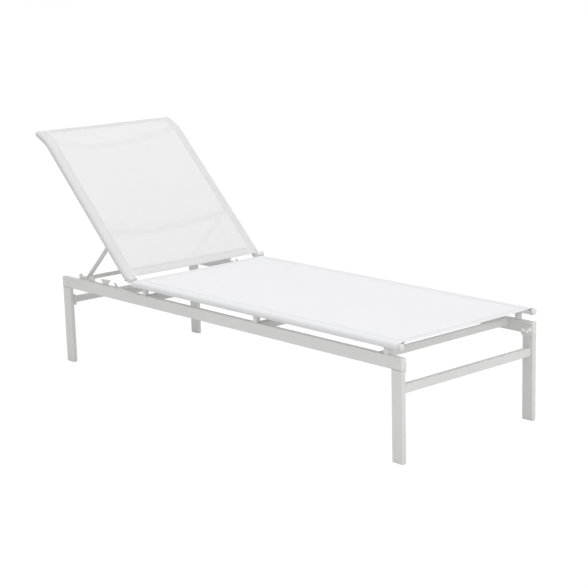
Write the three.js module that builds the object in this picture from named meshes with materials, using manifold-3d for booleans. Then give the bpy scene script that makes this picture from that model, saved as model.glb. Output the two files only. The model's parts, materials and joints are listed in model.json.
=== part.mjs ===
// Reclining sun lounger: a sling seat and a hinged sling backrest on a low four-legged aluminium frame.
// Millimetres, +Z up, +X towards the foot end, origin on the floor under the centre of the bounding box.
import * as THREE from "three";
import { mergeVertices } from "three/addons/utils/BufferGeometryUtils.js";
import Module from "manifold-3d";

// Base frame. Lengths along X count from the head end of the side rails.
const CLEARANCE = 0.3;
const WALL = 1.6;
const RAIL_LENGTH = 1820;
const RAIL_HEIGHT = 40;
const RAIL_WIDTH = 20;
const RAIL_TOP = 337;
const OUTER_HALF = 318;
const CORNER_RADIUS = 2.5;
const LEG_LENGTH_X = 44;
const LEG_WIDTH_Y = 18;
const GLIDE_HEIGHT = 5;
const GLIDE_INSET = 0.8;

// Bars between the two sides.
const FOOT_STRETCHER = { x: 1803, z: 236, wide: 20, tall: 28 };
const HEAD_STRETCHER = { x: 33, z: 247, wide: 20, tall: 23 };
const CROSSBAR_TALL = 25;
const CROSSBARS = {
  hinge: { x: 357, wide: 25 },
  head: { x: 524, wide: 25 },
  middle: { x: 1142, wide: 25 },
  foot: { x: 1710.5, wide: 12 },
};

// Seat tubes, their posts and the seat sling.
const TUBE_RADIUS = 11;
const TUBE_Y = 311;
const SEAT_TUBE_Z = 370.5;
const SEAT_TUBE_HEAD_X = 454;
const SEAT_TUBE_FOOT_X = 1815;
const POST_X = { head: 524, middle: 1142, foot: 1752 };
const POST_SIZE = { x: 17, y: 16 };
const SLING_THICKNESS = 1.8;
const SLING_HALF_WIDTH = 302;
const SLING_RISE = 9.6;
const SEAT_SLING_X = [456, 1809];

// Backrest: its hinge axis, its angle above flat and its tube line below the hinge axis.
const HINGE_X = 442;
const HINGE_DROP = 14;
const HINGE_Z = SEAT_TUBE_Z + HINGE_DROP;
const BACK_ANGLE = THREE.MathUtils.degToRad(44.2);
const BACK_TUBE_START = 16;
const BACK_BEND_START = 655;
const BACK_BEND_RADIUS = 150;
const BACK_BEND_ANGLE = THREE.MathUtils.degToRad(18);
const BACK_TIP = 52;
const BACK_SLING_START = 12.5;
const SPREADER = { halfWide: 13, halfTall: 8, lowerAt: 238, lowerBow: 49, upperAt: 688, upperBow: 52 };

// Prop: pivot place on the backrest, swing angle away from folded, and its bars.
const PROP_PIVOT = { along: 214.7, below: 52 };
const PROP_ANGLE = THREE.MathUtils.degToRad(87.9);
const PROP_LENGTH = 241;
const PROP_RADIUS = 8;
const PROP_ARM_Y = 252;
const PROP_BAR_HALF = 288;

// Racks: tooth outlines as [x, height above the rail top].
const RACK_THICKNESS = 3.4;
const RACK_FLOOR = 1.4;
const RACK_FOOT = -22;
const KNOB = { x: 96, z: 10, radius: 10.5 };

const COLORS = { coat: 0xeeeeec, sling: 0xf2f2f4, plug: 0xe9e9e6, bolt: 0xcfcfcd };
const SEGMENTS = 24;

const wasm = await Module();
wasm.setup();

function finish(color, roughness, metalness) {
  return new THREE.MeshStandardMaterial({ color, roughness, metalness });
}

const makeCoat = () => finish(COLORS.coat, 0.42, 0.1);
const makeSling = () => finish(COLORS.sling, 0.85, 0);
const makePlug = () => finish(COLORS.plug, 0.55, 0);
const makeBolt = () => finish(COLORS.bolt, 0.35, 0.8);

function solid(geometry) {
  const bare = geometry.clone();
  bare.deleteAttribute("normal");
  bare.deleteAttribute("uv");
  const merged = mergeVertices(bare, 1e-4);
  return new wasm.Manifold(
    new wasm.Mesh({
      numProp: 3,
      vertProperties: new Float32Array(merged.attributes.position.array),
      triVerts: new Uint32Array(merged.index.array),
    }),
  );
}

function surface(manifold) {
  const mesh = manifold.getMesh();
  const geometry = new THREE.BufferGeometry();
  geometry.setAttribute("position", new THREE.BufferAttribute(mesh.vertProperties, 3));
  geometry.setIndex(new THREE.BufferAttribute(mesh.triVerts, 1));
  geometry.computeVertexNormals();
  return geometry;
}

function cut(geometry, ...tools) {
  return surface(tools.reduce((body, tool) => body.subtract(solid(tool)), solid(geometry)));
}

function join(...geometries) {
  return surface(geometries.map(solid).reduce((body, other) => body.add(other)));
}

function addMesh(parent, name, geometry, material, x = 0, y = 0, z = 0) {
  const mesh = new THREE.Mesh(geometry, material);
  mesh.name = name;
  mesh.position.set(x, y, z);
  parent.add(mesh);
  return mesh;
}

function roundedOutline(path, halfX, halfY, radius) {
  path.moveTo(-halfX + radius, -halfY);
  path.lineTo(halfX - radius, -halfY);
  path.absarc(halfX - radius, -halfY + radius, radius, -Math.PI / 2, 0);
  path.lineTo(halfX, halfY - radius);
  path.absarc(halfX - radius, halfY - radius, radius, 0, Math.PI / 2);
  path.lineTo(-halfX + radius, halfY);
  path.absarc(-halfX + radius, halfY - radius, radius, Math.PI / 2, Math.PI);
  path.lineTo(-halfX, -halfY + radius);
  path.absarc(-halfX + radius, -halfY + radius, radius, Math.PI, 1.5 * Math.PI);
  return path;
}

// A rectangular tube open at both ends, along Z from 0 to length.
function boxTube(sizeX, sizeY, length) {
  const shape = roundedOutline(new THREE.Shape(), sizeX / 2, sizeY / 2, CORNER_RADIUS);
  const inner = [sizeX / 2 - WALL, sizeY / 2 - WALL];
  shape.holes.push(roundedOutline(new THREE.Path(), ...inner, CORNER_RADIUS - WALL));
  return new THREE.ExtrudeGeometry(shape, { depth: length, bevelEnabled: false, curveSegments: 2 });
}

// A plate from an outline in X and Z, thick along Y and centred on y = 0.
function plate(shape, thickness, curveSegments = 6) {
  const geometry = new THREE.ExtrudeGeometry(shape, { depth: thickness, bevelEnabled: false, curveSegments });
  return geometry.rotateX(Math.PI / 2).translate(0, thickness / 2, 0);
}

function polygon(points) {
  return new THREE.Shape(points.map(([x, z]) => new THREE.Vector2(x, z)));
}

function rodY(radius, length, segments = SEGMENTS) {
  return new THREE.CylinderGeometry(radius, radius, length, segments);
}

// A shallow dome on a short stem, pointing up Z, for plugs and bolt heads.
function dome(radius, rise, stemRadius, stem, segments = 16) {
  const steps = 4;
  const profile = [new THREE.Vector2(0, -stem), new THREE.Vector2(stemRadius, -stem)];
  profile.push(new THREE.Vector2(stemRadius, 0), new THREE.Vector2(radius, 0));
  for (let i = 1; i <= steps; i += 1) {
    const turn = (i / steps) * (Math.PI / 2);
    profile.push(new THREE.Vector2(i === steps ? 0 : radius * Math.cos(turn), rise * Math.sin(turn)));
  }
  return new THREE.LatheGeometry(profile, segments).rotateX(Math.PI / 2);
}

// A path through given stations, so that bends get more steps than straights.
class StationPath extends THREE.Curve {
  constructor(stations) {
    super();
    this.stations = stations;
  }

  getPoint(t) {
    const place = t * (this.stations.length - 1);
    const index = Math.min(Math.floor(place), this.stations.length - 2);
    return this.stations[index].clone().lerp(this.stations[index + 1], place - index);
  }

  getPointAt(u) {
    return this.getPoint(u);
  }

  getTangent(t) {
    const index = Math.round(t * (this.stations.length - 1));
    const before = this.stations[Math.max(index - 1, 0)];
    const after = this.stations[Math.min(index + 1, this.stations.length - 1)];
    return after.clone().sub(before).normalize();
  }

  getTangentAt(u) {
    return this.getTangent(u);
  }
}

function sweep(stations, halfAcross, halfInPlane, segments) {
  const outline = new THREE.Shape();
  outline.absellipse(0, 0, halfAcross, halfInPlane, 0, 2 * Math.PI);
  const extrudePath = new StationPath(stations);
  const steps = stations.length - 1;
  return new THREE.ExtrudeGeometry(outline, { steps, extrudePath, bevelEnabled: false, curveSegments: segments });
}

const base = new THREE.Group();
const SIDES = [
  { side: "near", sign: -1 },
  { side: "far", sign: 1 },
];
const ENDS = [
  { end: "head", x: LEG_LENGTH_X / 2, out: -1 },
  { end: "foot", x: RAIL_LENGTH - LEG_LENGTH_X / 2, out: 1 },
];
const RAIL_Y = OUTER_HALF - RAIL_WIDTH / 2;
const RAIL_INSIDE = OUTER_HALF - RAIL_WIDTH;
const LEG_Y = OUTER_HALF - LEG_WIDTH_Y / 2;
const LEG_INSIDE = OUTER_HALF - LEG_WIDTH_Y;
const RAIL_BOTTOM = RAIL_TOP - RAIL_HEIGHT;

function buildRails() {
  const plugDepth = 2;
  for (const { side, sign } of SIDES) {
    const length = RAIL_LENGTH - 2 * (plugDepth + CLEARANCE);
    const tube = boxTube(RAIL_HEIGHT, RAIL_WIDTH, length).rotateY(Math.PI / 2);
    addMesh(base, `side_rail_${side}`, tube, makeCoat(), plugDepth + CLEARANCE, sign * RAIL_Y, RAIL_TOP - RAIL_HEIGHT / 2);
    for (const { end, out } of ENDS) {
      const shape = roundedOutline(new THREE.Shape(), RAIL_HEIGHT / 2, RAIL_WIDTH / 2, CORNER_RADIUS);
      const depth = { depth: plugDepth, bevelEnabled: false, curveSegments: 2 };
      const cap = new THREE.ExtrudeGeometry(shape, depth).rotateY(Math.PI / 2);
      const x = out < 0 ? 0 : RAIL_LENGTH - plugDepth;
      addMesh(base, `rail_plug_${side}_${end}`, cap, makePlug(), x, sign * RAIL_Y, RAIL_TOP - RAIL_HEIGHT / 2);
    }
  }
}

function buildLegs() {
  const stem = 12;
  for (const { side, sign } of SIDES) {
    for (const { end, x } of ENDS) {
      const bottom = GLIDE_HEIGHT + CLEARANCE;
      const length = RAIL_BOTTOM - CLEARANCE - bottom;
      const tube = boxTube(LEG_LENGTH_X, LEG_WIDTH_Y, length);
      addMesh(base, `leg_${side}_${end}`, tube, makeCoat(), x, sign * LEG_Y, bottom);
      const sole = new THREE.BoxGeometry(LEG_LENGTH_X - 2 * GLIDE_INSET, LEG_WIDTH_Y - 2 * GLIDE_INSET, GLIDE_HEIGHT);
      const inside = 2 * (WALL + CLEARANCE + 1);
      const core = new THREE.BoxGeometry(LEG_LENGTH_X - inside, LEG_WIDTH_Y - inside, stem + GLIDE_HEIGHT);
      const glide = join(sole.translate(0, 0, GLIDE_HEIGHT / 2), core.translate(0, 0, (stem + GLIDE_HEIGHT) / 2));
      addMesh(base, `glide_${side}_${end}`, glide, makePlug(), x, sign * LEG_Y, 0);
    }
  }
}

function barBetween(name, sizeX, sizeZ, half, x, z) {
  const tube = boxTube(sizeX, sizeZ, 2 * half).rotateX(Math.PI / 2).translate(0, half, 0);
  addMesh(base, name, tube, makeCoat(), x, 0, z);
}

function buildCrossMembers() {
  const bracket = 3.6;
  barBetween("foot_stretcher", FOOT_STRETCHER.wide, FOOT_STRETCHER.tall, LEG_INSIDE - CLEARANCE, FOOT_STRETCHER.x, FOOT_STRETCHER.z);
  const headHalf = LEG_INSIDE - bracket - 2 * CLEARANCE;
  barBetween("head_stretcher", HEAD_STRETCHER.wide, HEAD_STRETCHER.tall, headHalf, HEAD_STRETCHER.x, HEAD_STRETCHER.z);
  const crossbarZ = RAIL_TOP - CROSSBAR_TALL / 2;
  for (const [place, { x, wide }] of Object.entries(CROSSBARS)) {
    barBetween(`crossbar_${place}`, wide, CROSSBAR_TALL, RAIL_INSIDE - CLEARANCE, x, crossbarZ);
  }
}

function boltHead(radius, rise) {
  const socket = new THREE.CylinderGeometry(radius * 0.36, radius * 0.36, rise, 6).rotateX(Math.PI / 2);
  return cut(dome(radius, rise, radius * 0.5, 1.5, 16), socket.translate(0, 0, rise));
}

// A corner plate with its bolt heads on the side that faces the middle of the lounger.
function cornerPlate(outline, bolts, thickness, sign) {
  const heads = bolts.map(([x, z]) => {
    const head = boltHead(5.4, 2.6).rotateX((sign * Math.PI) / 2);
    return head.translate(x, -sign * (thickness / 2), z);
  });
  return join(plate(polygon(outline), thickness), ...heads);
}

function buildCornerPlates() {
  const thickness = 3.6;
  const footOutline = [[1772, 303], [1777, 291], [1790, 286], [1812, 286], [1817, 291], [1817, 320], [1812, 325]];
  footOutline.push([1790, 325], [1776, 318]);
  const footBolts = [[1785, 307], [1801, 306], [1811, 312]];
  const headOutline = [[14, 231], [17, 227], [50, 227], [55, 232], [55, 264], [51, 268], [17, 268], [14, 265]];
  const headBolt = [49.5, 247];
  for (const { side, sign } of SIDES) {
    const railPlate = cornerPlate(footOutline, footBolts, thickness, sign);
    const footY = sign * (RAIL_INSIDE - CLEARANCE - thickness / 2);
    addMesh(base, `corner_plate_${side}_foot`, railPlate, makeCoat(), 0, footY, 0);
    const legPlate = plate(polygon(headOutline), thickness);
    const headY = sign * (LEG_INSIDE - CLEARANCE - thickness / 2);
    const head = boltHead(4.4, 2.6).rotateX((sign * Math.PI) / 2);
    head.translate(headBolt[0], -sign * (thickness / 2), headBolt[1]);
    addMesh(base, `corner_plate_${side}_head`, join(legPlate, head), makeCoat(), 0, headY, 0);
  }
}

function buildRacks() {
  const outline = [[58, RACK_FOOT], [342, RACK_FOOT], [343.5, -4], [338, RACK_FLOOR]];
  outline.push([318, 16.5], [311, 14.5], [322, RACK_FLOOR], [272, RACK_FLOOR], [275, 8], [288, 19], [288, 21]);
  outline.push([229, 18], [229, 16], [240, 7], [239, RACK_FLOOR], [188, RACK_FLOOR], [185, 8], [184, 18]);
  outline.push([172, 20], [151, 16], [150, RACK_FLOOR], [133, RACK_FLOOR], [131, 13], [106, 13]);
  outline.push([104, RACK_FLOOR], [87, RACK_FLOOR], [86, -7], [82.5, -13], [77.4, -15]);
  outline.push([72.3, -13], [68.8, -7], [68, -2], [58, -2]);
  for (const { side, sign } of SIDES) {
    const teeth = plate(polygon(outline), RACK_THICKNESS);
    const knob = rodY(KNOB.radius, RACK_THICKNESS, 16).translate(KNOB.x, 0, KNOB.z);
    const y = sign * (RAIL_INSIDE - CLEARANCE - RACK_THICKNESS / 2);
    addMesh(base, `rack_${side}`, join(teeth, knob), makeCoat(), 0, y, RAIL_TOP);
  }
}

function buildPosts() {
  const height = SEAT_TUBE_Z - RAIL_TOP;
  for (const { side, sign } of SIDES) {
    for (const [place, x] of Object.entries(POST_X)) {
      const block = new THREE.BoxGeometry(POST_SIZE.x, POST_SIZE.y, height);
      const seat = new THREE.CylinderGeometry(TUBE_RADIUS + CLEARANCE, TUBE_RADIUS + CLEARANCE, 2 * POST_SIZE.x, SEGMENTS);
      const saddle = seat.rotateZ(Math.PI / 2).translate(0, sign * (TUBE_Y - RAIL_Y), height / 2);
      const post = cut(block, saddle);
      const top = new THREE.BoxGeometry(2 * POST_SIZE.x, 2 * POST_SIZE.y, height);
      const trimmed = cut(post, top.translate(0, 0, height - TUBE_RADIUS * 0.6));
      addMesh(base, `post_${side}_${place}`, trimmed, makeCoat(), x, sign * RAIL_Y, RAIL_TOP + CLEARANCE + height / 2);
    }
  }
}

// A round tube along +X with its far end closed by a wall at x = 0.
function seatTube(length) {
  const outer = new THREE.CylinderGeometry(TUBE_RADIUS, TUBE_RADIUS, length, SEGMENTS);
  const bore = new THREE.CylinderGeometry(TUBE_RADIUS - WALL, TUBE_RADIUS - WALL, length, SEGMENTS);
  outer.rotateZ(Math.PI / 2).translate(length / 2, 0, 0);
  bore.rotateZ(Math.PI / 2).translate(length / 2 + 2 * WALL, 0, 0);
  return cut(outer, bore);
}

function buildSeat() {
  for (const { side, sign } of SIDES) {
    const length = SEAT_TUBE_FOOT_X - SEAT_TUBE_HEAD_X;
    addMesh(base, `seat_tube_${side}`, seatTube(length), makeCoat(), SEAT_TUBE_HEAD_X, sign * TUBE_Y, SEAT_TUBE_Z);
    const plug = dome(TUBE_RADIUS, 5.5, TUBE_RADIUS - WALL - 2 * CLEARANCE, 14).rotateY(Math.PI / 2);
    addMesh(base, `seat_plug_${side}`, plug, makePlug(), SEAT_TUBE_FOOT_X + CLEARANCE, sign * TUBE_Y, SEAT_TUBE_Z);
  }
  const [start, end] = SEAT_SLING_X;
  const cloth = new THREE.BoxGeometry(end - start, 2 * SLING_HALF_WIDTH, SLING_THICKNESS);
  const z = SEAT_TUBE_Z + SLING_RISE + SLING_THICKNESS / 2;
  addMesh(base, "seat_sling", cloth, makeSling(), (start + end) / 2, 0, z);
}

// Hinge plates lie in layers on the inner side of the tubes; a bolt crosses them and ends in a disc outside.
const HINGE = { plate: 3, pin: 4, pinHole: 4.4, disc: 12, discRise: 3.6, barrel: 10, nut: 5, eye: 11 };
const LUG_Y = TUBE_Y - TUBE_RADIUS - CLEARANCE - HINGE.plate / 2;
const FIXED_Y = LUG_Y - HINGE.plate - CLEARANCE;
const DISC_Y = TUBE_Y + TUBE_RADIUS + 2 * CLEARANCE;

function eyeOutline(points, startAngle, endAngle) {
  const shape = new THREE.Shape();
  shape.moveTo(...points[0]);
  points.slice(1).forEach((point) => shape.lineTo(...point));
  shape.absarc(0, 0, HINGE.eye, startAngle, endAngle);
  const hole = new THREE.Path();
  hole.absarc(0, 0, HINGE.pinHole, 0, 2 * Math.PI);
  shape.holes.push(hole);
  return shape;
}

function buildFixedHinges() {
  const bottom = -HINGE_DROP - TUBE_RADIUS;
  for (const { side, sign } of SIDES) {
    const points = [[-4, bottom - 3], [30, bottom], [52, bottom + 4], [52, -9], [14, -7.5]];
    const ear = plate(eyeOutline(points, -0.5, Math.PI + 0.1), HINGE.plate);
    const spacer = new THREE.BoxGeometry(34, HINGE.plate + CLEARANCE + 0.2, 12);
    spacer.translate(33, sign * (HINGE.plate + 0.1), -HINGE_DROP - 0.5);
    const screw = boltHead(3.6, 2).rotateX((sign * Math.PI) / 2);
    const screws = [25, 42].map((x) => screw.clone().translate(x, -sign * (HINGE.plate / 2), -HINGE_DROP - 1));
    const body = join(ear, spacer, ...screws);
    addMesh(base, `hinge_plate_${side}`, body, makeCoat(), HINGE_X, sign * FIXED_Y, HINGE_Z);

    const outer = DISC_Y - FIXED_Y;
    const inner = HINGE.plate / 2 + CLEARANCE + HINGE.nut;
    const length = outer + inner + 2;
    const pin = rodY(HINGE.pin, length, 16).translate(0, (sign * (outer - inner)) / 2, 0);
    const disc = dome(HINGE.disc, HINGE.discRise, HINGE.pin, 2, SEGMENTS).rotateX((-sign * Math.PI) / 2);
    disc.translate(0, sign * outer, 0);
    const barrelStart = LUG_Y + HINGE.plate / 2 + CLEARANCE - FIXED_Y;
    const barrel = rodY(HINGE.barrel, outer - barrelStart + 0.5);
    barrel.translate(0, (sign * (outer + barrelStart + 0.5)) / 2, 0);
    const nut = new THREE.CylinderGeometry(7, 7, HINGE.nut, 6).translate(0, -sign * (inner - HINGE.nut / 2), 0);
    addMesh(base, `hinge_bolt_${side}`, join(pin, barrel, disc, nut), makeCoat(), HINGE_X, sign * FIXED_Y, HINGE_Z);
  }
}

// The backrest is built lying flat, with its hinge axis at the group's origin and its top towards -X.
const backrest = new THREE.Group();

// Points along the backrest tube line from its lower end to its tip, for a given height over the tube axis.
function backLine(start, rise, tip) {
  const points = [new THREE.Vector3(-start, 0, rise - HINGE_DROP), new THREE.Vector3(-BACK_BEND_START, 0, rise - HINGE_DROP)];
  const steps = 6;
  const radius = BACK_BEND_RADIUS + rise;
  for (let i = 1; i <= steps; i += 1) {
    const turn = (i / steps) * BACK_BEND_ANGLE;
    const x = -BACK_BEND_START - radius * Math.sin(turn);
    points.push(new THREE.Vector3(x, 0, -HINGE_DROP - BACK_BEND_RADIUS + radius * Math.cos(turn)));
  }
  const last = points[points.length - 1];
  const direction = new THREE.Vector3(-Math.cos(BACK_BEND_ANGLE), 0, -Math.sin(BACK_BEND_ANGLE));
  points.push(last.clone().addScaledVector(direction, tip));
  return points;
}

function placeAlongBack(distance) {
  const bendLength = BACK_BEND_RADIUS * BACK_BEND_ANGLE;
  const past = Math.max(0, Math.min(distance - BACK_BEND_START, bendLength));
  const turn = past / BACK_BEND_RADIUS;
  const beyond = Math.max(0, distance - BACK_BEND_START - bendLength);
  const straight = Math.min(distance, BACK_BEND_START);
  const x = -straight - BACK_BEND_RADIUS * Math.sin(turn) - beyond * Math.cos(BACK_BEND_ANGLE);
  const z = -HINGE_DROP - BACK_BEND_RADIUS * (1 - Math.cos(turn)) - beyond * Math.sin(BACK_BEND_ANGLE);
  return { x, z, turn };
}

function bowedBar(at, bow) {
  const half = TUBE_Y - 4;
  const steps = 12;
  const stations = [];
  for (let i = 0; i <= steps; i += 1) {
    const y = -half + (2 * half * i) / steps;
    stations.push(new THREE.Vector3(0, y, -bow * (1 - (y / half) ** 2)));
  }
  const bar = sweep(stations, SPREADER.halfWide, SPREADER.halfTall, 8);
  const place = placeAlongBack(at);
  bar.rotateY(-place.turn).translate(place.x, 0, place.z);
  const line = backLine(BACK_TUBE_START - 8, 0, BACK_TIP + 8);
  const keepOut = SIDES.map(({ sign }) => {
    const gap = TUBE_RADIUS + CLEARANCE;
    return sweep(line, gap, gap, 12).translate(0, sign * TUBE_Y, 0);
  });
  const pieces = keepOut.reduce((body, tool) => body.subtract(solid(tool)), solid(bar)).decompose();
  return surface(pieces.reduce((best, piece) => (piece.volume() > best.volume() ? piece : best)));
}

function buildBackTubes() {
  for (const { side, sign } of SIDES) {
    const outer = sweep(backLine(BACK_TUBE_START, 0, BACK_TIP), TUBE_RADIUS, TUBE_RADIUS, 12);
    const bore = sweep(backLine(BACK_TUBE_START + 2 * WALL, 0, BACK_TIP + 4), TUBE_RADIUS - WALL, TUBE_RADIUS - WALL, 8);
    addMesh(backrest, `back_tube_${side}`, cut(outer, bore), makeCoat(), 0, sign * TUBE_Y, 0);
    const tip = backLine(BACK_TUBE_START, 0, BACK_TIP + CLEARANCE).pop();
    const plug = addMesh(backrest, `back_plug_${side}`, dome(TUBE_RADIUS, 5.5, TUBE_RADIUS - WALL - 2, 14), makePlug());
    plug.position.set(tip.x, sign * TUBE_Y, tip.z);
    plug.rotation.y = -Math.PI / 2 - BACK_BEND_ANGLE;
  }
}

function buildBackSling() {
  const under = backLine(BACK_SLING_START, SLING_RISE, BACK_TIP - 2);
  const over = backLine(BACK_SLING_START, SLING_RISE + SLING_THICKNESS, BACK_TIP - 2).reverse();
  const outline = polygon([...under, ...over].map((point) => [point.x, point.z]));
  addMesh(backrest, "back_sling", plate(outline, 2 * SLING_HALF_WIDTH), makeSling());
}

function buildBackFittings() {
  const bracketThickness = 4;
  const eye = 10;
  const top = PROP_PIVOT.below - HINGE_DROP - 22.5;
  for (const { side, sign } of SIDES) {
    const points = [[-14, -7.5], [-62, -8], [-62, -20], [-30, -24], [-8, -22]];
    const lug = plate(eyeOutline(points, -0.75, Math.PI + 0.5), HINGE.plate);
    addMesh(backrest, `hinge_lug_${side}`, lug, makeCoat(), 0, sign * LUG_Y, 0);

    const tab = polygon([[-33, top], [-33, top - 5]]);
    tab.absarc(0, 0, eye, Math.PI + 0.35, 2 * Math.PI);
    tab.lineTo(eye, 6);
    tab.lineTo(4, top);
    const bracket = cut(plate(tab, bracketThickness), rodY(3.4, 3 * bracketThickness, 16));
    const y = sign * (PROP_ARM_Y + PROP_RADIUS + CLEARANCE + bracketThickness / 2);
    addMesh(backrest, `prop_bracket_${side}`, bracket, makeCoat(), -PROP_PIVOT.along, y, -PROP_PIVOT.below);
  }
}

// The prop is built folded, with its pivot axis at the group's origin and its foot bar towards -X.
const prop = new THREE.Group();

function buildProp() {
  for (const { side, sign } of SIDES) {
    const reach = PROP_LENGTH - PROP_RADIUS - CLEARANCE;
    const arm = new THREE.CylinderGeometry(PROP_RADIUS, PROP_RADIUS, reach + 7, 16);
    arm.rotateZ(Math.PI / 2).translate(7 - (reach + 7) / 2, 0, 0);
    const hole = rodY(3.4, 4 * PROP_RADIUS, 16);
    addMesh(prop, `prop_arm_${side}`, cut(arm, hole), makeCoat(), 0, sign * PROP_ARM_Y, 0);

    const outward = PROP_RADIUS + 2 * CLEARANCE + 4.5;
    const pin = rodY(3, PROP_RADIUS + outward + 3, 16).translate(0, (sign * (outward - PROP_RADIUS - 1)) / 2, 0);
    const heads = [sign * (outward + 1.6), -sign * (PROP_RADIUS + 1.9)].map((y) => rodY(5, 2.4, 16).translate(0, y, 0));
    addMesh(prop, `prop_pin_${side}`, join(pin, ...heads), makeBolt(), 0, sign * PROP_ARM_Y, 0);
  }
  const tube = new THREE.CylinderGeometry(PROP_RADIUS, PROP_RADIUS, 2 * PROP_BAR_HALF, 16);
  const bore = rodY(PROP_RADIUS - WALL, 2 * PROP_BAR_HALF + 10, 12);
  addMesh(prop, "prop_bar", cut(tube, bore), makeCoat(), -PROP_LENGTH, 0, 0);
  for (const { side, sign } of SIDES) {
    const plug = dome(PROP_RADIUS, 3, PROP_RADIUS - WALL - 2 * CLEARANCE, 8, 16).rotateX((-sign * Math.PI) / 2);
    addMesh(prop, `prop_plug_${side}`, plug, makePlug(), -PROP_LENGTH, sign * (PROP_BAR_HALF + CLEARANCE), 0);
  }
}

buildRails();
buildLegs();
buildCrossMembers();
buildCornerPlates();
buildRacks();
buildPosts();
buildSeat();
buildFixedHinges();
buildBackTubes();
addMesh(backrest, "spreader_lower", bowedBar(SPREADER.lowerAt, SPREADER.lowerBow), makeCoat());
addMesh(backrest, "spreader_upper", bowedBar(SPREADER.upperAt, SPREADER.upperBow), makeCoat());
buildBackSling();
buildBackFittings();
buildProp();

prop.position.set(-PROP_PIVOT.along, 0, -PROP_PIVOT.below);
prop.rotation.y = -PROP_ANGLE;
backrest.add(prop);
backrest.position.set(HINGE_X, 0, HINGE_Z);
backrest.rotation.y = BACK_ANGLE;
base.add(backrest);

// The tip of the leaning backrest and the foot plugs bound the length; the origin sits midway between them.
const lounger = new THREE.Group();
lounger.add(base);
lounger.updateMatrixWorld(true);
const extent = new THREE.Box3().setFromObject(base, true);
base.position.x = -Math.round((extent.min.x + extent.max.x) / 2);

export default lounger;
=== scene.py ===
"""Looks of a reclining sun lounger, in metres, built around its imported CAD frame.

The metal and plastic pieces are the frame's own shapes with softened edges. The two slings are
woven sheets that wrap the side tubes in sewn sleeves, with folded hems and rows of stitching.
"""

import json
import math

import bmesh
import bpy
from mathutils import Matrix, Vector, noise

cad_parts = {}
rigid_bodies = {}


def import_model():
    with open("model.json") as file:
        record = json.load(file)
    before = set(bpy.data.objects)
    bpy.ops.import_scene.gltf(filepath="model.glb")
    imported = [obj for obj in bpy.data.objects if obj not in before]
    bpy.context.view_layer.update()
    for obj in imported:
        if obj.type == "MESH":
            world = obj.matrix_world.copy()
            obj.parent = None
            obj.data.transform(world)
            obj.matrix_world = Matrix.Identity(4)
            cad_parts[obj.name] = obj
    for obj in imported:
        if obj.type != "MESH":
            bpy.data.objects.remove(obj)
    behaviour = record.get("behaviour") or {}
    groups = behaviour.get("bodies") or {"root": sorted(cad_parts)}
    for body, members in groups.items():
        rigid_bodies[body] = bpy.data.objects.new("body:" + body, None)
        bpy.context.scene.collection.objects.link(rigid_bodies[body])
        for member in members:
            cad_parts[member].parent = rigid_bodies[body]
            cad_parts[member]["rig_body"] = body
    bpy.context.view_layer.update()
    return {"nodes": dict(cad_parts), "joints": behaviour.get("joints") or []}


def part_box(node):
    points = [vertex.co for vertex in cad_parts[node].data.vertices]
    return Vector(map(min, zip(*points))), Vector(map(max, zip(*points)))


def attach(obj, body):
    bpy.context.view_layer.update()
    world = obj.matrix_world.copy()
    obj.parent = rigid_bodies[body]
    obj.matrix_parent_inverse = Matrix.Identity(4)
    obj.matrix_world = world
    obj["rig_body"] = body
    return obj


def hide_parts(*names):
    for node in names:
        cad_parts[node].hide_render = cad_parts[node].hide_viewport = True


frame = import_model()
NODES = frame["nodes"]
JOINTS = {joint["name"]: joint for joint in frame["joints"]}

MM = 0.001
SIDES = {"near": -1, "far": 1}

# Cloth: one woven layer, its sleeves round the side tubes, and its seams. Sleeve openings are
# ranges of the zones that sleeve_profile describes.
CLOTH = 0.9 * MM
CLOTH_GAP = 0.25 * MM
SEAM_OUTER = 20 * MM
SEAM_INNER = 28 * MM
SLEEVE_STEPS = 16
PANEL_PITCH = 14 * MM
FLAP_GAP = 0.05 * MM
FOLD_GAP = 0.08 * MM
NOTCH_ROOM = 2.5 * MM
POST_OPENING = (-165, -58)
SPREADER_OPENING = (-172, -58)
HINGE_OPENING = (-172, -100)
SEAT_SAG = 3.5 * MM
BACK_SAG = 2 * MM
SEAT_HEMS = (30 * MM, 30 * MM)
BACK_HEMS = (35 * MM, 22 * MM)
YARN_ACROSS = 1.7 * MM
YARN_ALONG = 1.25 * MM

# Stitches: their length and gap, their rows' distances from the flap's edge and from a hem's edge.
STITCH = 3.1 * MM
STITCH_GAP = 1.3 * MM
STITCH_SIDES = 6
SEAM_ROWS = (1.6 * MM, 4.6 * MM)
HEM_ROWS = (3 * MM, 6 * MM)
HEM_INSET = 3 * MM

# Backrest tube line: below the hinge axis, straight for a length, then bent back.
BACK_ANGLE = math.radians(44.2)
BACK_DROP = 14 * MM
BACK_STRAIGHT = 655 * MM
BACK_BEND_RADIUS = 150 * MM
BACK_BEND = math.radians(18)
BACK_TIP = 52 * MM
SPREADERS_AT = (238 * MM, 688 * MM)
SPREADER_HALF = 13 * MM
BACK_CLOTH_START = 12.5 * MM
BACK_CLOTH_SHORT = 2 * MM
LUG_REACH = 62 * MM

# Bolt caps on the foot corner plates: each bolt's place back and down from the plate's foot top corner.
CAP_RADIUS = 6.3 * MM
CAP_RISE = 5.5 * MM
CAP_SEAT = 2.5 * MM
CAP_PLACES = ((32 * MM, 18 * MM), (16 * MM, 19.8 * MM), (5.5 * MM, 12.5 * MM))
CAP_RINGS = 5
CAP_SIDES = 20

# Edges sharper than CREASE get a bevel, and stay sharp in shading where still above SHARP.
CREASE = math.radians(32)
SHARP = math.radians(42)
NEARLY_FLAT = math.radians(0.4)

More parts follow.
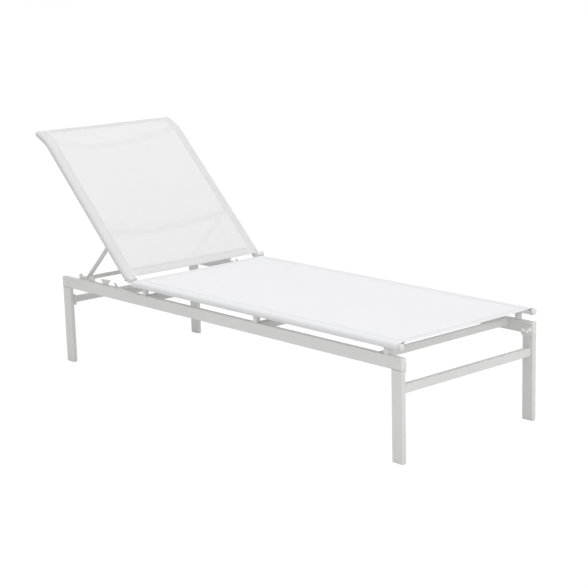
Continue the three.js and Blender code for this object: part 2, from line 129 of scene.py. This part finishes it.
# Each material's darkest and lightest tone.
COAT_TONES = ((0.7, 0.7, 0.688), (0.745, 0.745, 0.737))
PLASTIC_TONES = ((0.74, 0.74, 0.725), (0.79, 0.79, 0.78))
# The bolt caps are white plastic, and are toned lighter still than the other plastic as painted light for
# their up-facing, lit domes.
WHITE_LIT_CAP_TONES = ((0.9, 0.9, 0.9), (0.95, 0.95, 0.95))
STEEL_TONES = ((0.62, 0.62, 0.61), (0.8, 0.8, 0.79))
THREAD_TONES = ((0.72, 0.72, 0.73), (0.86, 0.86, 0.87))
SEAT_TONES = ((0.815, 0.815, 0.827), (0.885, 0.885, 0.9))
# The backrest's cloth is the seat's cloth toned darker: painted shade for the less light on its tilted
# face.
SHADED_BACK_TONES = ((0.755, 0.755, 0.76), (0.82, 0.82, 0.828))
FLOOR_TONES = ((0.84, 0.84, 0.84), (0.86, 0.86, 0.86))

# Studio: the sky's strength, the softboxes' power, and how much the floor shines for the camera.
SKY = 0.68
TOP_WATTS = 61
FOOT_WATTS = 32
FLOOR_GLOW = 1.05
FLOOR_SHARE = 0.93
FLOOR_REACH = 40.0

CAMERA_PLACE = (4.085, -3.519, 1.540)
CAMERA_LENS = 93.8
CAMERA_YAW = math.radians(48.26)
CAMERA_PITCH = math.radians(12.59)
CAMERA_ROLL = math.radians(1.51)


class Surface:
    """A new material with a Principled shader, and short calls that add nodes to it."""

    def __init__(self, name, **sockets):
        self.material = bpy.data.materials.new(name)
        self.material.use_nodes = True
        self.tree = self.material.node_tree
        self.shader = self.tree.nodes["Principled BSDF"]
        self.output = self.tree.nodes["Material Output"]
        for socket, value in sockets.items():
            self.shader.inputs[socket.replace("_", " ")].default_value = value

    def add(self, kind, inputs, **settings):
        node = self.tree.nodes.new("ShaderNode" + kind)
        for key, value in settings.items():
            setattr(node, key, value)
        for key, value in inputs.items():
            self.feed(node.inputs[key], value)
        return node

    def feed(self, socket, value):
        if isinstance(value, bpy.types.NodeSocket):
            self.tree.links.new(value, socket)
        else:
            socket.default_value = value

    def math(self, operation, first, second=0.0):
        node = self.tree.nodes.new("ShaderNodeMath")
        node.operation = operation
        self.feed(node.inputs[0], first)
        self.feed(node.inputs[1], second)
        return node.outputs[0]

    def grain(self, scale, detail=2.0, vector=None):
        """Noise from 0 to 1, in features per metre."""
        if vector is None:
            vector = self.add("TexCoord", {}).outputs["Object"]
        inputs = {"Vector": vector, "Scale": scale, "Detail": detail}
        return self.add("TexNoise", inputs).outputs["Fac"]

    def spread(self, value, low, high, start=0.3, end=0.7):
        inputs = {"Value": value, "From Min": start, "From Max": end, "To Min": low, "To Max": high}
        return self.add("MapRange", inputs).outputs["Result"]

    def tint(self, share, dark, light):
        """A colour between two, by a share from 0 to 1."""
        node = self.tree.nodes.new("ShaderNodeMix")
        node.data_type = "RGBA"
        self.feed(node.inputs[0], share)
        node.inputs[6].default_value = (*dark, 1)
        node.inputs[7].default_value = (*light, 1)
        return node.outputs[2]

    def bump(self, height, distance, strength=1.0, normal=None):
        inputs = {"Height": height, "Distance": distance, "Strength": strength}
        if normal is not None:
            inputs["Normal"] = normal
        return self.add("Bump", inputs).outputs["Normal"]

    def colour(self, socket):
        self.feed(self.shader.inputs["Base Color"], socket)

    def roughness(self, socket):
        self.feed(self.shader.inputs["Roughness"], socket)

    def normal(self, socket):
        self.feed(self.shader.inputs["Normal"], socket)


def powder_coat():
    """Satin white powder coat: faint orange peel, fine specks and slow changes of tone."""
    made = Surface("powder_coat", Coat_Weight=0.06, Coat_Roughness=0.22)
    cloudy = made.grain(7, 3)
    specks = made.grain(1900, 1)
    share = made.math("ADD", made.spread(cloudy, 0, 0.75), made.spread(specks, 0, 0.25))
    made.colour(made.tint(share, *COAT_TONES))
    made.roughness(made.spread(made.grain(55, 3), 0.36, 0.5))
    peel = made.bump(made.grain(620, 2), 0.05 * MM, 0.5)
    made.normal(made.bump(specks, 0.02 * MM, 0.4, peel))
    return made.material


def woven_cloth(name, tones, glow, clear):
    """White PVC-coated mesh: yarns over and under each other. The share glow of the light passes
    through the yarns, and the share clear goes straight through between them."""
    made = Surface(name, Sheen_Weight=0.15, Sheen_Roughness=0.5, Specular_IOR_Level=0.3)
    place = made.add("SeparateXYZ", {"Vector": made.add("UVMap", {}, uv_map="cloth").outputs["UV"]})
    weft = made.math("SINE", made.math("MULTIPLY", place.outputs["X"], math.pi / YARN_ACROSS))
    warp = made.math("SINE", made.math("MULTIPLY", place.outputs["Y"], math.pi / YARN_ALONG))
    weft_height = made.math("ABSOLUTE", weft)
    warp_height = made.math("ABSOLUTE", warp)
    over = made.spread(made.math("MULTIPLY", weft, warp), 0.35, 1, -0.3, 0.3)
    under = made.math("SUBTRACT", 1.35, over)
    weft_part = made.math("MULTIPLY", weft_height, over)
    warp_part = made.math("MULTIPLY", warp_height, under)
    crossing = made.math("MAXIMUM", weft_part, warp_part)
    cloudy = made.grain(16, 3)
    slub = made.grain(420, 2)
    share = made.math("ADD", made.spread(cloudy, 0, 0.12), made.spread(slub, 0, 0.4))
    # Tone also rises with the yarns' height: the cloth is darker where the yarns dip under each other,
    # which is painted shade in the weave's dips.
    share = made.math("ADD", share, made.spread(crossing, 0, 0.45, 0.2, 0.9))
    shade = made.tint(share, *tones)
    made.colour(shade)
    made.roughness(made.spread(slub, 0.55, 0.7))
    weave = made.bump(crossing, 0.28 * MM, 0.7)
    made.normal(made.bump(slub, 0.06 * MM, 0.5, weave))
    through = made.add("BsdfTranslucent", {"Color": shade, "Normal": weave})
    cloth = made.add("MixShader", {0: glow, 1: made.shader.outputs[0], 2: through.outputs[0]})
    gaps = made.add("BsdfTransparent", {})
    whole = made.add("MixShader", {0: clear, 1: cloth.outputs[0], 2: gaps.outputs[0]})
    made.feed(made.output.inputs["Surface"], whole.outputs[0])
    return made.material


def moulded_plastic(name, tones):
    """White moulded nylon: fine spark texture and soft sheen."""
    made = Surface(name, Specular_IOR_Level=0.45)
    spark = made.grain(2600, 2)
    made.colour(made.tint(made.spread(made.grain(90, 3), 0, 1), *tones))
    made.roughness(made.spread(made.grain(300, 2), 0.42, 0.6))
    made.normal(made.bump(spark, 0.04 * MM, 0.5))
    return made.material


def brushed_steel():
    """Turned stainless steel with fine scratches, a little dull."""
    made = Surface("brushed_steel", Metallic=1.0)
    coords = made.add("TexCoord", {}).outputs["Object"]
    stretched = made.add("Mapping", {"Vector": coords, "Scale": (1, 0.08, 1)}).outputs["Vector"]
    lines = made.grain(3800, 2, stretched)
    made.colour(made.tint(made.spread(lines, 0, 1), *STEEL_TONES))
    made.roughness(made.spread(made.grain(240, 3), 0.24, 0.42))
    made.normal(made.bump(lines, 0.02 * MM, 0.6))
    return made.material


def sewing_thread():
    """Twisted polyester thread."""
    made = Surface("sewing_thread", Sheen_Weight=0.4)
    twist = made.grain(3000, 1)
    made.colour(made.tint(made.spread(twist, 0, 1), *THREAD_TONES))
    made.roughness(made.spread(twist, 0.5, 0.75))
    made.normal(made.bump(twist, 0.1 * MM, 0.6))
    return made.material


COAT = powder_coat()
PLASTIC = moulded_plastic("moulded_plastic", PLASTIC_TONES)
# The caps' plastic is partly its own white and partly painted light: its tones are lighter than the plugs'
# for the caps' lit domes.
CAP_PLASTIC = moulded_plastic("cap_plastic_white_and_lit", WHITE_LIT_CAP_TONES)
STEEL = brushed_steel()
THREAD = sewing_thread()
SEAT_CLOTH = woven_cloth("seat_cloth", SEAT_TONES, 0.04, 0.01)
# The backrest's cloth gets darker tones than the seat's, as painted shade for its tilted face.
BACK_CLOTH = woven_cloth("back_cloth_shaded", SHADED_BACK_TONES, 0.1, 0.05)


def place_piece(name, mesh, material, slot, body, *nodes):
    mesh.materials.clear()
    mesh.materials.append(material)
    piece = bpy.data.objects.new(name, mesh)
    bpy.context.scene.collection.objects.link(piece)
    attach(piece, body)
    if nodes:
        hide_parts(*nodes)
    return piece


def refine(node, material, slot, edge):
    """A copy of a CAD node with its sharp edges rounded by edge, and smooth shading elsewhere."""
    shape = bmesh.new()
    shape.from_mesh(NODES[node].data)
    bmesh.ops.remove_doubles(shape, verts=shape.verts, dist=0.002 * MM)
    bmesh.ops.dissolve_limit(shape, angle_limit=NEARLY_FLAT, verts=shape.verts, edges=shape.edges)
    creases = [e for e in shape.edges if len(e.link_faces) == 2 and e.calc_face_angle(0) > CREASE]
    bmesh.ops.bevel(
        shape, geom=creases, offset=edge, offset_type="OFFSET", segments=2, profile=0.5,
        affect="EDGES", clamp_overlap=True,
    )
    for face in shape.faces:
        face.smooth = True
    mesh = bpy.data.meshes.new(node + "_fine")
    shape.to_mesh(mesh)
    shape.free()
    mesh.set_sharp_from_angle(angle=SHARP)
    piece = place_piece(node + "_fine", mesh, material, slot, NODES[node]["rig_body"], node)
    piece.modifiers.new("even_shading", "WEIGHTED_NORMAL").keep_sharp = True


# What a node's name holds, and the material, slot and edge rounding listed for it.
FINISHES = [
    ("_plug_", PLASTIC, "plug", 0.5 * MM),
    ("glide_", PLASTIC, "plug", 0.6 * MM),
    ("_bolt_", COAT, "coat", 0.3 * MM),
    ("_pin_", STEEL, "bolt", 0.3 * MM),
    ("plate_", COAT, "coat", 0.35 * MM),
    ("rack_", COAT, "coat", 0.5 * MM),
    ("lug_", COAT, "coat", 0.4 * MM),
    ("bracket_", COAT, "coat", 0.4 * MM),
]


def refine_all():
    for node in sorted(NODES):
        if node.endswith("_sling"):
            continue
        chosen = next((f for f in FINISHES if f[0] in node), ("", COAT, "coat", 0.45 * MM))
        refine(node, *chosen[1:])


def dome_cap(shape, centre, rise):
    """A closed low dome on a vertical plate: its flat side at centre, its crown rise away along Y."""
    before = None
    for j in range(CAP_RINGS):
        turn = math.radians(90 * j / CAP_RINGS)
        reach = CAP_RADIUS * math.cos(turn)
        out = rise * math.sin(turn)
        ring = []
        for i in range(CAP_SIDES):
            angle = math.radians(360 * i / CAP_SIDES)
            offset = Vector((reach * math.cos(angle), out, reach * math.sin(angle)))
            ring.append(shape.verts.new(centre + offset))
        if before:
            for i in range(CAP_SIDES):
                shape.faces.new((before[i - 1], before[i], ring[i], ring[i - 1]))
        else:
            shape.faces.new(ring)
        before = ring
    crown = shape.verts.new(centre + Vector((0, rise, 0)))
    for i in range(CAP_SIDES):
        shape.faces.new((before[i - 1], before[i], crown))


def build_bolt_caps():
    """White snap-on caps over the three bolts of each foot corner plate."""
    for side, sign in SIDES.items():
        low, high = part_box("corner_plate_" + side + "_foot")
        face = (low.y if sign > 0 else high.y) + sign * CAP_SEAT
        shape = bmesh.new()
        for back, down in CAP_PLACES:
            dome_cap(shape, Vector((high.x - back, face, high.z - down)), -sign * CAP_RISE)
        bmesh.ops.recalc_face_normals(shape, faces=shape.faces)
        for polygon in shape.faces:
            polygon.smooth = True
        mesh = bpy.data.meshes.new("caps")
        shape.to_mesh(mesh)
        shape.free()
        mesh.set_sharp_from_angle(angle=SHARP)
        place_piece("bolt_caps_" + side, mesh, CAP_PLASTIC, "plug", "root")


def middle(node):
    low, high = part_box(node)
    return (low + high) / 2


class SeatLine:
    """The seat tubes' line, from their head end: place(s) gives a point on it and its upward normal."""

    def __init__(self):
        low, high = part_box("seat_tube_near")
        self.tube = (high.z - low.z) / 2
        self.half = abs(middle("seat_tube_far").y)
        self.height = middle("seat_tube_near").z
        sling_low, sling_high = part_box("seat_sling")
        self.start = sling_low.x
        self.length = sling_high.x - sling_low.x

    def place(self, s):
        return Vector((self.start + s, 0, self.height)), Vector((0, 0, 1))

    def along(self, x):
        return x - self.start


class BackLine:
    """The backrest tubes' line, measured from the hinge axis up to the bent top."""

    def __init__(self, seat):
        self.tube = seat.tube
        self.half = seat.half
        self.hinge = Vector(JOINTS["backrest_recline"]["pos_m"])
        self.start = BACK_CLOTH_START
        bend = BACK_BEND_RADIUS * BACK_BEND
        self.length = BACK_STRAIGHT + bend + BACK_TIP - BACK_CLOTH_SHORT - self.start

    def place(self, s):
        distance = self.start + s
        bend = BACK_BEND_RADIUS * BACK_BEND
        turn = max(0.0, min(distance - BACK_STRAIGHT, bend)) / BACK_BEND_RADIUS
        beyond = max(0.0, distance - BACK_STRAIGHT - bend)
        straight = min(distance, BACK_STRAIGHT)
        flat_x = -straight - BACK_BEND_RADIUS * math.sin(turn) - beyond * math.cos(turn)
        flat_z = -BACK_DROP - BACK_BEND_RADIUS * (1 - math.cos(turn)) - beyond * math.sin(turn)
        lean = Matrix.Rotation(BACK_ANGLE, 3, "Y")
        normal = Vector((-math.sin(turn), 0, math.cos(turn)))
        return self.hinge + lean @ Vector((flat_x, 0, flat_z)), lean @ normal

    def along(self, distance):
        return distance - self.start


def sleeve_profile(tube):
    """Half of the cloth's cross-section past the flat panel, as (across, up, zone) from the tube's axis.

    Zones are the angle round the tube in degrees, 90 at its top and falling outwards and under it,
    then -160 and -170 on the way back up to the panel, and -180 on the sewn flap."""
    radius = tube + CLOTH_GAP + CLOTH / 2
    flap_up = radius - CLOTH - FLAP_GAP
    corner = Vector((-SEAM_OUTER, flap_up))
    leave = math.degrees(math.atan2(corner.y, corner.x) + math.acos(radius / corner.length)) - 360
    points = []
    for i in range(1, SLEEVE_STEPS + 1):
        angle = 90 + (leave - 90) * i / SLEEVE_STEPS
        across = radius * math.cos(math.radians(angle))
        up = radius * math.sin(math.radians(angle))
        points.append((across, up, angle))
    last = Vector(points[-1][:2])
    for share, zone in ((0.12, -160), (0.5, -170), (0.86, -170)):
        point = last.lerp(corner, share)
        points.append((point.x, point.y, zone))
    points.append((corner.x - 1.2 * MM, flap_up - 0.25 * MM, -170))
    points.append((corner.x - 3 * MM, flap_up, -180))
    points.append((-SEAM_INNER, flap_up, -180))
    return points


def add_face(shape, uv, corners, places):
    made = shape.faces.new(corners)
    made.smooth = True
    for loop, place in zip(made.loops, places):
        loop[uv].uv = place


def add_stitch(shape, first, second, out):
    """One stitch from first to second: a thread with pinched ends that bulges along out."""
    sideways = (second - first).normalized().cross(out)
    before = None
    for share, swell in ((0, 0.25), (0.3, 1), (0.7, 1), (1, 0.25)):
        centre = first.lerp(second, share) + out * (0.12 * MM * swell - 0.1 * MM)
        ring = []
        for k in range(STITCH_SIDES):
            turn = math.radians(360 / STITCH_SIDES * k)
            reach = sideways * math.cos(turn) * 0.42 + out * math.sin(turn) * 0.3
            ring.append(shape.verts.new(centre + reach * MM * swell))
        if before:
            for k in range(STITCH_SIDES):
                shape.faces.new((before[k], before[k - 1], ring[k - 1], ring[k]))
        else:
            shape.faces.new(ring)
        before = ring
    shape.faces.new(list(reversed(before)))


def add_stitch_row(shape, place, total, skip=()):
    """Stitches over and under the cloth along place(distance), apart from the stretches to skip."""
    top = CLOTH / 2
    under = -top - CLOTH - FLAP_GAP
    for i in range(int(total / (STITCH + STITCH_GAP))):
        at = (i + 0.5) * (STITCH + STITCH_GAP)
        if any(low <= at <= high for low, high in skip):
            continue
        first, normal = place(at - STITCH / 2)
        second, _ = place(at + STITCH / 2)
        for offset, side in ((top, 1), (under, -1)):
            lift = normal * offset
            add_stitch(shape, first + lift, second + lift, normal * side)


class Sling:
    """A woven sheet along a line of tubes: a panel, two sleeves, and a folded hem at each end."""

    def __init__(self, line, sag, hems, notches, seed):
        self.line = line
        self.sag = sag
        self.hems = hems
        self.notches = notches
        self.seed = seed
        self.seam = line.half - SEAM_INNER
        self.rise = line.tube + CLOTH_GAP + CLOTH / 2

    def panel_up(self, s, y):
        """Height of the panel's middle layer over the tubes' axis, with its sag and faint ripples."""
        inside = max(0.0, 1 - (y / self.seam) ** 2)
        ends = min(s, self.line.length - s) / self.line.length
        ripple = noise.noise(Vector((s * 3.1, y * 5.2, self.seed))) * 0.4 * MM
        fine = noise.noise(Vector((s * 11, y * 17, self.seed + 7))) * 0.12 * MM
        pull = noise.noise(Vector((s * 26, self.seed, 0))) * 0.3 * MM * (abs(y) / self.seam) ** 6
        sag = self.sag * inside * (0.6 + 1.6 * ends)
        return self.rise - sag + (ripple + fine) * inside + pull * (inside > 0)

    def point(self, s, y, up):
        place, normal = self.line.place(s)
        return place + normal * up + Vector((0, y, 0))

    def columns(self):
        """Every column of the sheet as (y, up or None on the panel, zone, distance across the cloth)."""
        count = 2 * round(self.seam / PANEL_PITCH)
        panel = [self.seam * (2 * i / count - 1) for i in range(count + 1)]
        shoulder = [self.seam + share * SEAM_INNER for share in (0.25, 0.5, 0.75)]
        flat = [-y for y in reversed([*shoulder, self.line.half])] + panel + [*shoulder, self.line.half]
        middle_part = [(y, None, 90) for y in flat]
        sleeve = sleeve_profile(self.line.tube)
        far = [(self.line.half + across, up, zone) for across, up, zone in sleeve]
        near = [(-y, up, zone) for y, up, zone in reversed(far)]
        return near + middle_part + far

    def kept(self, zone, s):
        return not any(
            low <= s <= high and first <= zone <= last for low, high, first, last in self.notches
        )

    def stations(self):
        """Distances along the sheet, with a row on each edge of every notch."""
        length = self.line.length
        count = round(length / PANEL_PITCH)
        even = [length * i / count for i in range(count + 1)]
        edges = [edge for low, high, *_ in self.notches for edge in (low, high)]
        edges = [edge for edge in edges if 0 < edge < length]
        apart = [s for s in even if all(abs(s - edge) > 0.3 * PANEL_PITCH for edge in edges)]
        return sorted(set(apart + edges + [0.0, length]))

    def distances(self, columns):
        """Each column's distance across the cloth from the sheet's near edge."""
        across = [0.0]
        for before, after in zip(columns, columns[1:]):
            up = [self.rise if c[1] is None else c[1] for c in (before, after)]
            across.append(across[-1] + math.hypot(after[0] - before[0], up[1] - up[0]))
        return across

    def ring(self, shape, columns, s):
        """The sheet's points at one station."""
        ring = []
        for y, up, _ in columns:
            if up is None:
                up = self.panel_up(s, y) if abs(y) <= self.seam else self.rise
            ring.append(shape.verts.new(self.point(s, y, up)))
        return ring

    def fold_hem(self, shape, uv, inner, start, end_s, sign, depth):
        """A hem turned under the panel from its edge: start is the edge's points, inner its (y, across)."""
        step = CLOTH + FOLD_GAP
        turns = [math.radians(a) for a in (45, 90, 135)]
        fold = [(-math.sin(a) * step / 2, (math.cos(a) - 1) * step / 2) for a in turns]
        back = [(depth * share, -step) for share in (0, 0.25, 0.5, 0.75, 1)]
        before, before_s = start, end_s
        for travel, drop in fold + back:
            s = end_s + sign * travel
            inside_s = min(max(s, 0), self.line.length)
            ring = []
            for y, _ in inner:
                ring.append(shape.verts.new(self.point(s, y, self.panel_up(inside_s, y) + drop)))
            for k in range(len(inner) - 1):
                left, right = inner[k][1], inner[k + 1][1]
                corners = [before[k], before[k + 1], ring[k + 1], ring[k]]
                places = [(left, before_s), (right, before_s), (right, s), (left, s)]
                if sign > 0:
                    corners.reverse()
                    places.reverse()
                add_face(shape, uv, corners, places)
            before, before_s = ring, s

    def build(self):
        """The sheet's mesh, and the width and length that it is cut to."""
        shape = bmesh.new()
        uv = shape.loops.layers.uv.new("cloth")
        columns = self.columns()
        across = self.distances(columns)
        rows = self.stations()
        grid = [self.ring(shape, columns, s) for s in rows]
        for j in range(len(rows) - 1):
            middle_s = (rows[j] + rows[j + 1]) / 2
            for i in range(len(columns) - 1):
                zone = min(columns[i][2], columns[i + 1][2])
                if not self.kept(zone, middle_s):
                    continue
                corners = (grid[j][i], grid[j][i + 1], grid[j + 1][i + 1], grid[j + 1][i])
                places = [(across[i + di], rows[j + dj]) for dj, di in ((0, 0), (0, 1), (1, 1), (1, 0))]
                add_face(shape, uv, corners, places)

        inner = [i for i, c in enumerate(columns) if c[1] is None and abs(c[0]) < self.seam - MM]
        edge_places = [(columns[i][0], across[i]) for i in inner]
        ends = ((grid[0], 0.0, 1, self.hems[0]), (grid[-1], self.line.length, -1, self.hems[1]))
        for ring, end_s, sign, depth in ends:
            self.fold_hem(shape, uv, edge_places, [ring[i] for i in inner], end_s, sign, depth)
        loose = [v for v in shape.verts if not v.link_faces]
        bmesh.ops.delete(shape, geom=loose, context="VERTS")
        mesh = bpy.data.meshes.new("cloth")
        shape.to_mesh(mesh)
        shape.free()
        return mesh, (across[-1], self.line.length + sum(self.hems))

    def stitches(self, skip):
        """Rows of stitches along both sleeves' seams and both hems, on the cloth's two faces."""
        shape = bmesh.new()
        for sign in SIDES.values():
            for inset in SEAM_ROWS:
                y = sign * (self.line.half - (SEAM_INNER - inset))

                def on_seam(s, y=y):
                    return self.point(s, y, self.rise), self.line.place(s)[1]

                add_stitch_row(shape, on_seam, self.line.length, skip)
        for end_s, sign, depth in ((0, 1, self.hems[0]), (self.line.length, -1, self.hems[1])):
            for inset in HEM_ROWS:
                s = end_s + sign * (depth - inset)

                def on_hem(t, s=s):
                    y = t - self.seam + HEM_INSET
                    return self.point(s, y, self.panel_up(s, y)), self.line.place(s)[1]

                add_stitch_row(shape, on_hem, 2 * (self.seam - HEM_INSET))
        for face in shape.faces:
            face.smooth = True
        bmesh.ops.recalc_face_normals(shape, faces=shape.faces)
        mesh = bpy.data.meshes.new("stitches")
        shape.to_mesh(mesh)
        shape.free()
        return mesh


def hang_sling(name, sling, material, body, skip):
    mesh, flat = sling.build()
    cloth = place_piece(name + "_cloth", mesh, material, "sling", body, name)
    seams = place_piece(name + "_stitching", sling.stitches(skip), THREAD, "sling", body)


def build_seat_sling(seat):
    notches = []
    for place in ("head", "middle", "foot"):
        low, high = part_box("post_near_" + place)
        reach = (seat.along(low.x) - NOTCH_ROOM, seat.along(high.x) + NOTCH_ROOM)
        notches.append((*reach, *POST_OPENING))
    bracket_end = seat.along(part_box("hinge_plate_near")[1].x) + NOTCH_ROOM
    notches.append((-MM, bracket_end, *HINGE_OPENING))
    sling = Sling(seat, SEAT_SAG, SEAT_HEMS, notches, 1)
    hang_sling("seat_sling", sling, SEAT_CLOTH, "root", [(0, bracket_end)])


def build_back_sling(back):
    notches = []
    for at in SPREADERS_AT:
        reach = SPREADER_HALF + NOTCH_ROOM
        notches.append((back.along(at - reach), back.along(at + reach), *SPREADER_OPENING))
    lug_end = back.along(LUG_REACH) + NOTCH_ROOM
    notches.append((-MM, lug_end, *HINGE_OPENING))
    sling = Sling(back, BACK_SAG, BACK_HEMS, notches, 5)
    hang_sling("back_sling", sling, BACK_CLOTH, "backrest", [(0, lug_end)])


def build_floor():
    mesh = bpy.data.meshes.new("floor")
    signs = ((-1, -1), (1, -1), (1, 1), (-1, 1))
    corners = [(x * FLOOR_REACH, y * FLOOR_REACH, 0) for x, y in signs]
    mesh.from_pydata(corners, [], [(0, 1, 2, 3)])
    made = Surface("pale_floor", Roughness=0.9, Specular_IOR_Level=0.1)
    made.colour(made.tint(made.spread(made.grain(3, 2), 0, 1), *FLOOR_TONES))
    seen = made.add("LightPath", {}).outputs["Is Camera Ray"]
    bright = made.add("Emission", {"Color": (1, 1, 1, 1), "Strength": FLOOR_GLOW})
    share = made.math("MULTIPLY", seen, FLOOR_SHARE)
    pale = made.add("MixShader", {0: share, 1: made.shader.outputs[0], 2: bright.outputs[0]})
    made.feed(made.output.inputs["Surface"], pale.outputs[0])
    mesh.materials.append(made.material)
    floor = bpy.data.objects.new("floor", mesh)
    bpy.context.scene.collection.objects.link(floor)


def soft_light(name, place, size, watts, target=(0, 0, 0.3)):
    lamp = bpy.data.lights.new(name, "AREA")
    lamp.shape = "RECTANGLE"
    lamp.size, lamp.size_y = size
    lamp.energy = watts
    holder = bpy.data.objects.new(name, lamp)
    holder.location = place
    holder.rotation_euler = (Vector(target) - Vector(place)).to_track_quat("-Z", "Y").to_euler()
    bpy.context.scene.collection.objects.link(holder)


def build_studio():
    world = bpy.data.worlds.new("studio")
    world.use_nodes = True
    tree = world.node_tree
    background = tree.nodes["Background"]
    background.inputs["Color"].default_value = (1, 1, 1, 1)
    background.inputs["Strength"].default_value = SKY
    backdrop = tree.nodes.new("ShaderNodeBackground")
    backdrop.inputs["Color"].default_value = (1, 1, 1, 1)
    backdrop.inputs["Strength"].default_value = 1.0
    path = tree.nodes.new("ShaderNodeLightPath")
    blend = tree.nodes.new("ShaderNodeMixShader")
    tree.links.new(path.outputs["Is Camera Ray"], blend.inputs[0])
    tree.links.new(background.outputs[0], blend.inputs[1])
    tree.links.new(backdrop.outputs[0], blend.inputs[2])
    tree.links.new(blend.outputs[0], tree.nodes["World Output"].inputs["Surface"])
    bpy.context.scene.world = world
    soft_light("overhead_softbox", (0.2, 0, 3.6), (4.5, 3.5), TOP_WATTS)
    soft_light("foot_softbox", (4.6, -0.6, 1.9), (3, 2.4), FOOT_WATTS)
    bpy.context.scene.view_settings.view_transform = "Standard"


def build_camera():
    """A standing viewer's eye off the near foot corner, with the picture turned a little."""
    data = bpy.data.cameras.new("camera")
    data.lens = CAMERA_LENS
    data.sensor_width = 36
    level = math.cos(CAMERA_PITCH)
    ahead = Vector((-math.sin(CAMERA_YAW) * level, math.cos(CAMERA_YAW) * level, -math.sin(CAMERA_PITCH)))
    right = ahead.cross(Vector((0, 0, 1))).normalized()
    down = ahead.cross(right)
    turned_right = right * math.cos(CAMERA_ROLL) + down * math.sin(CAMERA_ROLL)
    turned_down = down * math.cos(CAMERA_ROLL) - right * math.sin(CAMERA_ROLL)
    axes = Matrix((turned_right, -turned_down, -ahead)).transposed()
    camera = bpy.data.objects.new("camera", data)
    camera.matrix_world = Matrix.Translation(CAMERA_PLACE) @ axes.to_4x4()
    bpy.context.scene.collection.objects.link(camera)
    bpy.context.scene.camera = camera


build_camera()
build_studio()
build_floor()
refine_all()
build_bolt_caps()
seat_line = SeatLine()
build_seat_sling(seat_line)
build_back_sling(BackLine(seat_line))
